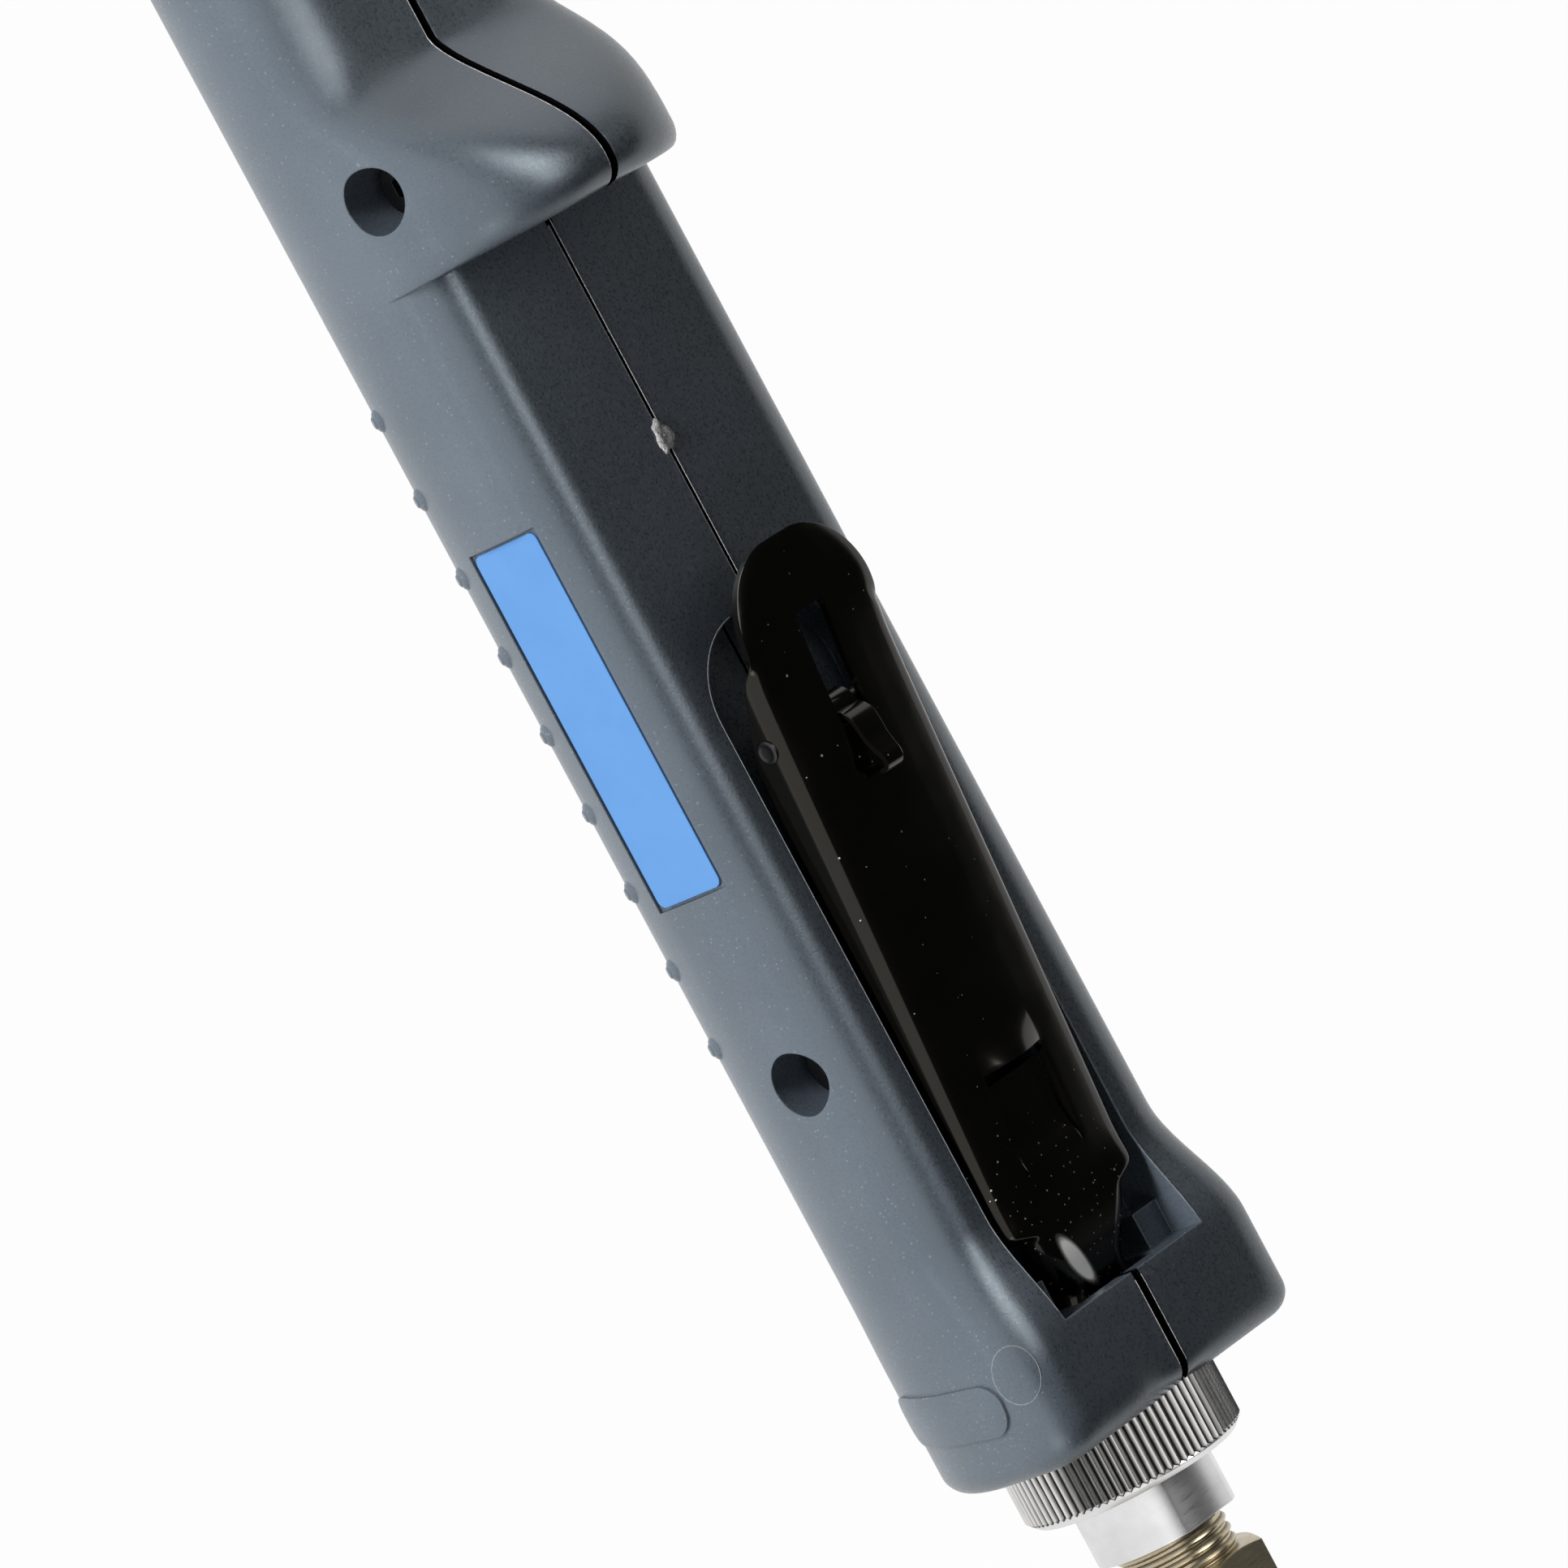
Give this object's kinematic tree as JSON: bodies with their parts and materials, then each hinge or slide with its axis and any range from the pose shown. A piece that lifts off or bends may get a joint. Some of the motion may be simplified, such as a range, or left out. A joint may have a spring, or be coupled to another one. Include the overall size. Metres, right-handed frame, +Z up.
{
  "type": "pneumatic jigsaw",
  "caption": "In-line air saw: moulded grip with a finger hump, sprung throttle lever with lock latch, knurled exhaust collar, hose nipple, and a reciprocating blade in a slotted guard.",
  "frame": {"origin": "on the air inlet axis, where the nipple's cylindrical probe starts", "axes": "+X forward along the tool to the blade, +Y to the tool's left, +Z up on the lever side"},
  "size_m": [0.368, 0.0485, 0.0424],
  "materials": {
    "housing_plastic": "slate grey glass-filled nylon, fine spark texture",
    "label_film": "plain blue film",
    "black_lever": "gloss black enamel on folded sheet steel",
    "bright_collar": "bright turned aluminium",
    "nickel_brass": "nickel-plated brass",
    "zinc_steel": "zinc-plated steel",
    "spring_steel": "spring steel",
    "machined_aluminium": "machined aluminium",
    "plain_brass": "turned brass",
    "ground_steel": "ground steel",
    "blade_steel": "hardened strip steel",
    "black_steel": "black oxide steel",
    "black_rubber": "nitrile rubber",
    "grey_felt": "pressed felt"
  },
  "bodies": {
    "housing": {"housing_left": "housing_plastic", "housing_right": "housing_plastic", "housing_screws": "black_steel", "label_plate": "label_film", "lever_pivot_pin": "zinc_steel", "inlet_body": "machined_aluminium", "inlet_bushing": "bright_collar", "inlet_screen": "zinc_steel", "hose_nipple": "nickel_brass", "collar_seal": "black_rubber", "valve_bush": "plain_brass", "valve_plug": "plain_brass", "valve_spring": "spring_steel", "air_tube": "machined_aluminium", "rear_cap": "machined_aluminium", "valve_chest": "ground_steel", "port_plate": "ground_steel", "cylinder": "ground_steel", "front_bumper": "black_rubber", "front_bush": "plain_brass", "rod_seal": "black_rubber", "nose_cap": "machined_aluminium", "guard_washers": "zinc_steel", "guard_screws": "zinc_steel"},
    "lever": {"throttle_lever": "black_lever", "latch_pin": "black_steel", "latch_spring": "spring_steel"},
    "latch": {"lock_latch": "black_lever"},
    "valve": {"valve_stem": "ground_steel", "valve_seal": "black_rubber"},
    "deflector": {"exhaust_deflector": "bright_collar", "exhaust_felt": "grey_felt"},
    "flapper": {"flapper_valve": "spring_steel"},
    "drive": {"piston_rod": "ground_steel", "piston_ring": "ground_steel", "blade_holder": "ground_steel", "blade_screws": "zinc_steel", "saw_blade": "blade_steel"},
    "guard": {"blade_guard": "black_steel"}
  },
  "joints": [
    {"name": "lever_squeeze", "type": "hinge", "parent": "housing", "child": "lever", "pos_m": [0.06, 0, 0.0076], "axis": [0, 1, 0], "range_deg": [0, 3.9], "stiffness_Nm_per_rad": 2, "springref_deg": -8.59},
    {"name": "latch_swing", "type": "hinge", "parent": "lever", "child": "latch", "pos_m": [0.13831, 0, 0.01548], "axis": [0, 1, 0], "range_deg": [0, 45.5]},
    {"name": "valve_press", "type": "slide", "parent": "housing", "child": "valve", "axis": [0, 0, -1], "range_m": [0, 0.0018], "deforming": ["valve_spring"]},
    {"name": "collar_turn", "type": "hinge", "parent": "housing", "child": "deflector", "pos_m": [0.0477, 0, 0], "axis": [1, 0, 0], "continuous": true},
    {"name": "flapper_flip", "type": "slide", "parent": "housing", "child": "flapper", "axis": [1, 0, 0], "range_m": [0, 0.0008]},
    {"name": "piston_stroke", "type": "slide", "parent": "housing", "child": "drive", "axis": [1, 0, 0], "range_m": [0, 0.01]},
    {"name": "guard_adjust", "type": "slide", "parent": "housing", "child": "guard", "axis": [1, 0, 0], "range_m": [-0.005, 0.005]}
  ],
  "couplings": [
    {"joint": "latch_swing", "follows": "lever_squeeze", "ratio": 11.5},
    {"joint": "valve_press", "follows": "lever_squeeze", "m_per_rad": 0.025}
  ]
}
